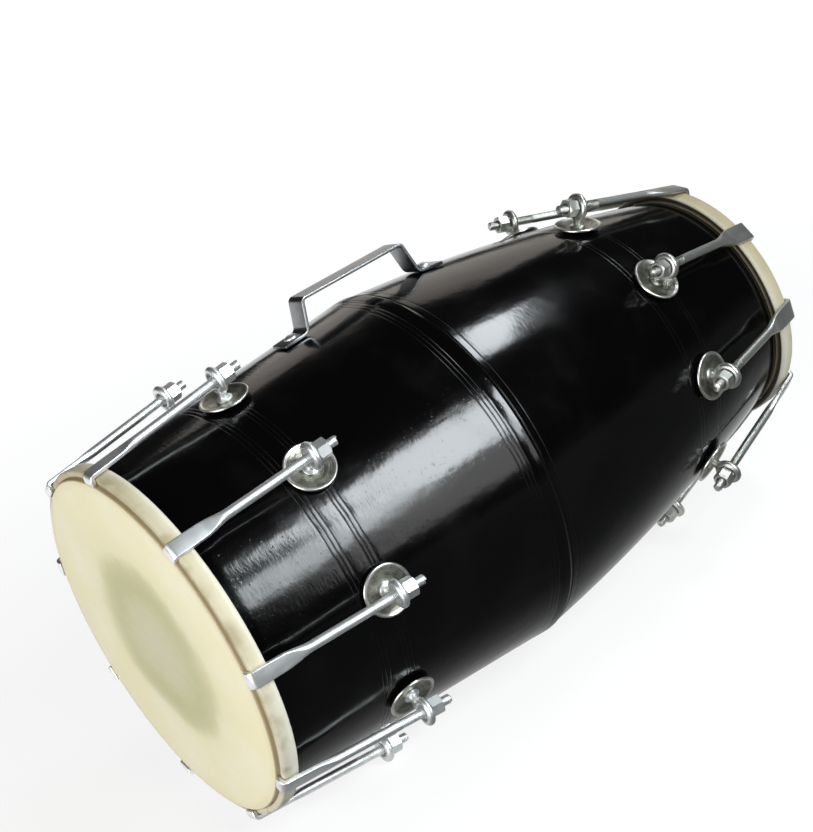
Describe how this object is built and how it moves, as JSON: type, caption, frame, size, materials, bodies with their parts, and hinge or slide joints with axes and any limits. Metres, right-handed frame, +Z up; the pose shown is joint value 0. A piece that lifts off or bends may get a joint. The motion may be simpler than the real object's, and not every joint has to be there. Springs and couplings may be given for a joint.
{
  "type": "dholak",
  "caption": "Two-headed barrel drum in gloss black lacquer, its goatskin heads drawn tight by threaded steel hooks and nuts, with a metal carrying handle.",
  "frame": {"origin": "on the surface the drum lies on, under the middle of its outer size", "axes": "+X along the drum from the wide bass head to the narrow treble head, +Z up, and +Y away from the side that faces a viewer who has the bass head on the left"},
  "size_m": [0.4894, 0.2824, 0.2783],
  "materials": {
    "lacquered_wood": "black lacquer, high gloss, with turned grooves and slight orange peel",
    "goatskin": "cream rawhide, satin, with a soft grey-green patch where the paste sits behind",
    "lapped_hoop": "cream rawhide lapped round an iron hoop, satin, worn at the hooks",
    "plated_steel": "bright nickel plate over pressed and threaded steel",
    "chromed_steel": "bright chrome plate on a bent steel strip"
  },
  "bodies": {
    "drum": {"shell": "lacquered_wood", "bass_skin": "goatskin", "treble_skin": "goatskin", "bass_hoop": "lapped_hoop", "treble_hoop": "lapped_hoop", "handle": "chromed_steel", "bass_eyebolt_1": "plated_steel", "bass_eyebolt_2": "plated_steel", "bass_eyebolt_3": "plated_steel", "bass_eyebolt_4": "plated_steel", "bass_eyebolt_5": "plated_steel", "bass_eyebolt_6": "plated_steel", "bass_eyebolt_7": "plated_steel", "bass_eyebolt_8": "plated_steel", "bass_eyebolt_9": "plated_steel", "treble_eyebolt_1": "plated_steel", "treble_eyebolt_2": "plated_steel", "treble_eyebolt_3": "plated_steel", "treble_eyebolt_4": "plated_steel", "treble_eyebolt_5": "plated_steel", "treble_eyebolt_6": "plated_steel", "treble_eyebolt_7": "plated_steel", "treble_eyebolt_8": "plated_steel", "treble_eyebolt_9": "plated_steel"},
    "bass_hook_1": {"bass_hook_1": "plated_steel"},
    "bass_nut_1": {"bass_nut_1": "plated_steel"},
    "bass_hook_2": {"bass_hook_2": "plated_steel"},
    "bass_nut_2": {"bass_nut_2": "plated_steel"},
    "bass_hook_3": {"bass_hook_3": "plated_steel"},
    "bass_nut_3": {"bass_nut_3": "plated_steel"},
    "bass_hook_4": {"bass_hook_4": "plated_steel"},
    "bass_nut_4": {"bass_nut_4": "plated_steel"},
    "bass_hook_5": {"bass_hook_5": "plated_steel"},
    "bass_nut_5": {"bass_nut_5": "plated_steel"},
    "bass_hook_6": {"bass_hook_6": "plated_steel"},
    "bass_nut_6": {"bass_nut_6": "plated_steel"},
    "bass_hook_7": {"bass_hook_7": "plated_steel"},
    "bass_nut_7": {"bass_nut_7": "plated_steel"},
    "bass_hook_8": {"bass_hook_8": "plated_steel"},
    "bass_nut_8": {"bass_nut_8": "plated_steel"},
    "bass_hook_9": {"bass_hook_9": "plated_steel"},
    "bass_nut_9": {"bass_nut_9": "plated_steel"},
    "treble_hook_1": {"treble_hook_1": "plated_steel"},
    "treble_nut_1": {"treble_nut_1": "plated_steel"},
    "treble_hook_2": {"treble_hook_2": "plated_steel"},
    "treble_nut_2": {"treble_nut_2": "plated_steel"},
    "treble_hook_3": {"treble_hook_3": "plated_steel"},
    "treble_nut_3": {"treble_nut_3": "plated_steel"},
    "treble_hook_4": {"treble_hook_4": "plated_steel"},
    "treble_nut_4": {"treble_nut_4": "plated_steel"},
    "treble_hook_5": {"treble_hook_5": "plated_steel"},
    "treble_nut_5": {"treble_nut_5": "plated_steel"},
    "treble_hook_6": {"treble_hook_6": "plated_steel"},
    "treble_nut_6": {"treble_nut_6": "plated_steel"},
    "treble_hook_7": {"treble_hook_7": "plated_steel"},
    "treble_nut_7": {"treble_nut_7": "plated_steel"},
    "treble_hook_8": {"treble_hook_8": "plated_steel"},
    "treble_nut_8": {"treble_nut_8": "plated_steel"},
    "treble_hook_9": {"treble_hook_9": "plated_steel"},
    "treble_nut_9": {"treble_nut_9": "plated_steel"}
  },
  "joints": [
    {"name": "bass_nut_1_turn", "type": "hinge", "parent": "drum", "child": "bass_nut_1", "pos_m": [-0.13694, 0, 0.26913], "axis": [0.9959, 0, 0.0903], "range_deg": [0, 2160]},
    {"name": "bass_hook_1_slide", "type": "slide", "parent": "drum", "child": "bass_hook_1", "axis": [-0.9959, 0, -0.0903], "range_m": [0, 0.006]},
    {"name": "bass_nut_2_turn", "type": "hinge", "parent": "drum", "child": "bass_nut_2", "pos_m": [-0.13819, -0.08628, 0.23776], "axis": [0.9947, -0.0836, 0.0599], "range_deg": [0, 2160]},
    {"name": "bass_hook_2_slide", "type": "slide", "parent": "drum", "child": "bass_hook_2", "axis": [-0.9947, 0.0836, -0.0599], "range_m": [0, 0.006]},
    {"name": "bass_nut_3_turn", "type": "hinge", "parent": "drum", "child": "bass_nut_3", "pos_m": [-0.14137, -0.13218, 0.15831], "axis": [0.9916, -0.1281, -0.0171], "range_deg": [0, 2160]},
    {"name": "bass_hook_3_slide", "type": "slide", "parent": "drum", "child": "bass_hook_3", "axis": [-0.9916, 0.1281, 0.0171], "range_m": [0, 0.006]},
    {"name": "bass_nut_4_turn", "type": "hinge", "parent": "drum", "child": "bass_nut_4", "pos_m": [-0.14499, -0.11624, 0.06796], "axis": [0.9881, -0.1126, -0.1046], "range_deg": [0, 2160]},
    {"name": "bass_hook_4_slide", "type": "slide", "parent": "drum", "child": "bass_hook_4", "axis": [-0.9881, 0.1126, 0.1046], "range_m": [0, 0.006]},
    {"name": "bass_nut_5_turn", "type": "hinge", "parent": "drum", "child": "bass_nut_5", "pos_m": [-0.14735, -0.04591, 0.009], "axis": [0.9858, -0.0445, -0.1618], "range_deg": [0, 2160]},
    {"name": "bass_hook_5_slide", "type": "slide", "parent": "drum", "child": "bass_hook_5", "axis": [-0.9858, 0.0445, 0.1618], "range_m": [0, 0.006]},
    {"name": "bass_nut_6_turn", "type": "hinge", "parent": "drum", "child": "bass_nut_6", "pos_m": [-0.14735, 0.04591, 0.009], "axis": [0.9858, 0.0445, -0.1618], "range_deg": [0, 2160]},
    {"name": "bass_hook_6_slide", "type": "slide", "parent": "drum", "child": "bass_hook_6", "axis": [-0.9858, -0.0445, 0.1618], "range_m": [0, 0.006]},
    {"name": "bass_nut_7_turn", "type": "hinge", "parent": "drum", "child": "bass_nut_7", "pos_m": [-0.14499, 0.11624, 0.06796], "axis": [0.9881, 0.1126, -0.1046], "range_deg": [0, 2160]},
    {"name": "bass_hook_7_slide", "type": "slide", "parent": "drum", "child": "bass_hook_7", "axis": [-0.9881, -0.1126, 0.1046], "range_m": [0, 0.006]},
    {"name": "bass_nut_8_turn", "type": "hinge", "parent": "drum", "child": "bass_nut_8", "pos_m": [-0.14137, 0.13218, 0.15831], "axis": [0.9916, 0.1281, -0.0171], "range_deg": [0, 2160]},
    {"name": "bass_hook_8_slide", "type": "slide", "parent": "drum", "child": "bass_hook_8", "axis": [-0.9916, -0.1281, 0.0171], "range_m": [0, 0.006]},
    {"name": "bass_nut_9_turn", "type": "hinge", "parent": "drum", "child": "bass_nut_9", "pos_m": [-0.13819, 0.08628, 0.23776], "axis": [0.9947, 0.0836, 0.0599], "range_deg": [0, 2160]},
    {"name": "bass_hook_9_slide", "type": "slide", "parent": "drum", "child": "bass_hook_9", "axis": [-0.9947, -0.0836, -0.0599], "range_m": [0, 0.006]},
    {"name": "treble_nut_1_turn", "type": "hinge", "parent": "drum", "child": "treble_nut_1", "pos_m": [0.14934, -0.00994, 0.24183], "axis": [-0.9443, -0.0244, 0.3283], "range_deg": [0, 2160]},
    {"name": "treble_hook_1_slide", "type": "slide", "parent": "drum", "child": "treble_hook_1", "axis": [0.9443, 0.0244, -0.3283], "range_m": [0, 0.006]},
    {"name": "treble_nut_2_turn", "type": "hinge", "parent": "drum", "child": "treble_nut_2", "pos_m": [0.14798, -0.08371, 0.20777], "axis": [-0.9476, -0.2053, 0.2448], "range_deg": [0, 2160]},
    {"name": "treble_hook_2_slide", "type": "slide", "parent": "drum", "child": "treble_hook_2", "axis": [0.9476, 0.2053, -0.2448], "range_m": [0, 0.006]},
    {"name": "treble_nut_3_turn", "type": "hinge", "parent": "drum", "child": "treble_nut_3", "pos_m": [0.14504, -0.1183, 0.1343], "axis": [-0.9548, -0.2901, 0.0646], "range_deg": [0, 2160]},
    {"name": "treble_hook_3_slide", "type": "slide", "parent": "drum", "child": "treble_hook_3", "axis": [0.9548, 0.2901, -0.0646], "range_m": [0, 0.006]},
    {"name": "treble_nut_4_turn", "type": "hinge", "parent": "drum", "child": "treble_nut_4", "pos_m": [0.1419, -0.09755, 0.0558], "axis": [-0.9625, -0.2392, -0.1279], "range_deg": [0, 2160]},
    {"name": "treble_hook_4_slide", "type": "slide", "parent": "drum", "child": "treble_hook_4", "axis": [0.9625, 0.2392, 0.1279], "range_m": [0, 0.006]},
    {"name": "treble_nut_5_turn", "type": "hinge", "parent": "drum", "child": "treble_nut_5", "pos_m": [0.14002, -0.03115, 0.009], "axis": [-0.9671, -0.0764, -0.2427], "range_deg": [0, 2160]},
    {"name": "treble_hook_5_slide", "type": "slide", "parent": "drum", "child": "treble_hook_5", "axis": [0.9671, 0.0764, 0.2427], "range_m": [0, 0.006]},
    {"name": "treble_nut_6_turn", "type": "hinge", "parent": "drum", "child": "treble_nut_6", "pos_m": [0.1403, 0.04983, 0.01579], "axis": [-0.9664, 0.1222, -0.226], "range_deg": [0, 2160]},
    {"name": "treble_hook_6_slide", "type": "slide", "parent": "drum", "child": "treble_hook_6", "axis": [0.9664, -0.1222, 0.226], "range_m": [0, 0.006]},
    {"name": "treble_nut_7_turn", "type": "hinge", "parent": "drum", "child": "treble_nut_7", "pos_m": [0.14258, 0.10749, 0.073], "axis": [-0.9608, 0.2636, -0.0857], "range_deg": [0, 2160]},
    {"name": "treble_hook_7_slide", "type": "slide", "parent": "drum", "child": "treble_hook_7", "axis": [0.9608, -0.2636, 0.0857], "range_m": [0, 0.006]},
    {"name": "treble_nut_8_turn", "type": "hinge", "parent": "drum", "child": "treble_nut_8", "pos_m": [0.14582, 0.11485, 0.15386], "axis": [-0.9529, 0.2816, 0.1126], "range_deg": [0, 2160]},
    {"name": "treble_hook_8_slide", "type": "slide", "parent": "drum", "child": "treble_hook_8", "axis": [0.9529, -0.2816, -0.1126], "range_m": [0, 0.006]},
    {"name": "treble_nut_9_turn", "type": "hinge", "parent": "drum", "child": "treble_nut_9", "pos_m": [0.14849, 0.06848, 0.22054], "axis": [-0.9463, 0.1679, 0.2761], "range_deg": [0, 2160]},
    {"name": "treble_hook_9_slide", "type": "slide", "parent": "drum", "child": "treble_hook_9", "axis": [0.9463, -0.1679, -0.2761], "range_m": [0, 0.006]}
  ],
  "couplings": [
    {"joint": "bass_nut_1_turn", "follows": "bass_hook_1_slide", "rad_per_m": 6283.2},
    {"joint": "bass_nut_2_turn", "follows": "bass_hook_2_slide", "rad_per_m": 6283.2},
    {"joint": "bass_nut_3_turn", "follows": "bass_hook_3_slide", "rad_per_m": 6283.2},
    {"joint": "bass_nut_4_turn", "follows": "bass_hook_4_slide", "rad_per_m": 6283.2},
    {"joint": "bass_nut_5_turn", "follows": "bass_hook_5_slide", "rad_per_m": 6283.2},
    {"joint": "bass_nut_6_turn", "follows": "bass_hook_6_slide", "rad_per_m": 6283.2},
    {"joint": "bass_nut_7_turn", "follows": "bass_hook_7_slide", "rad_per_m": 6283.2},
    {"joint": "bass_nut_8_turn", "follows": "bass_hook_8_slide", "rad_per_m": 6283.2},
    {"joint": "bass_nut_9_turn", "follows": "bass_hook_9_slide", "rad_per_m": 6283.2},
    {"joint": "treble_nut_1_turn", "follows": "treble_hook_1_slide", "rad_per_m": 6283.2},
    {"joint": "treble_nut_2_turn", "follows": "treble_hook_2_slide", "rad_per_m": 6283.2},
    {"joint": "treble_nut_3_turn", "follows": "treble_hook_3_slide", "rad_per_m": 6283.2},
    {"joint": "treble_nut_4_turn", "follows": "treble_hook_4_slide", "rad_per_m": 6283.2},
    {"joint": "treble_nut_5_turn", "follows": "treble_hook_5_slide", "rad_per_m": 6283.2},
    {"joint": "treble_nut_6_turn", "follows": "treble_hook_6_slide", "rad_per_m": 6283.2},
    {"joint": "treble_nut_7_turn", "follows": "treble_hook_7_slide", "rad_per_m": 6283.2},
    {"joint": "treble_nut_8_turn", "follows": "treble_hook_8_slide", "rad_per_m": 6283.2},
    {"joint": "treble_nut_9_turn", "follows": "treble_hook_9_slide", "rad_per_m": 6283.2}
  ]
}
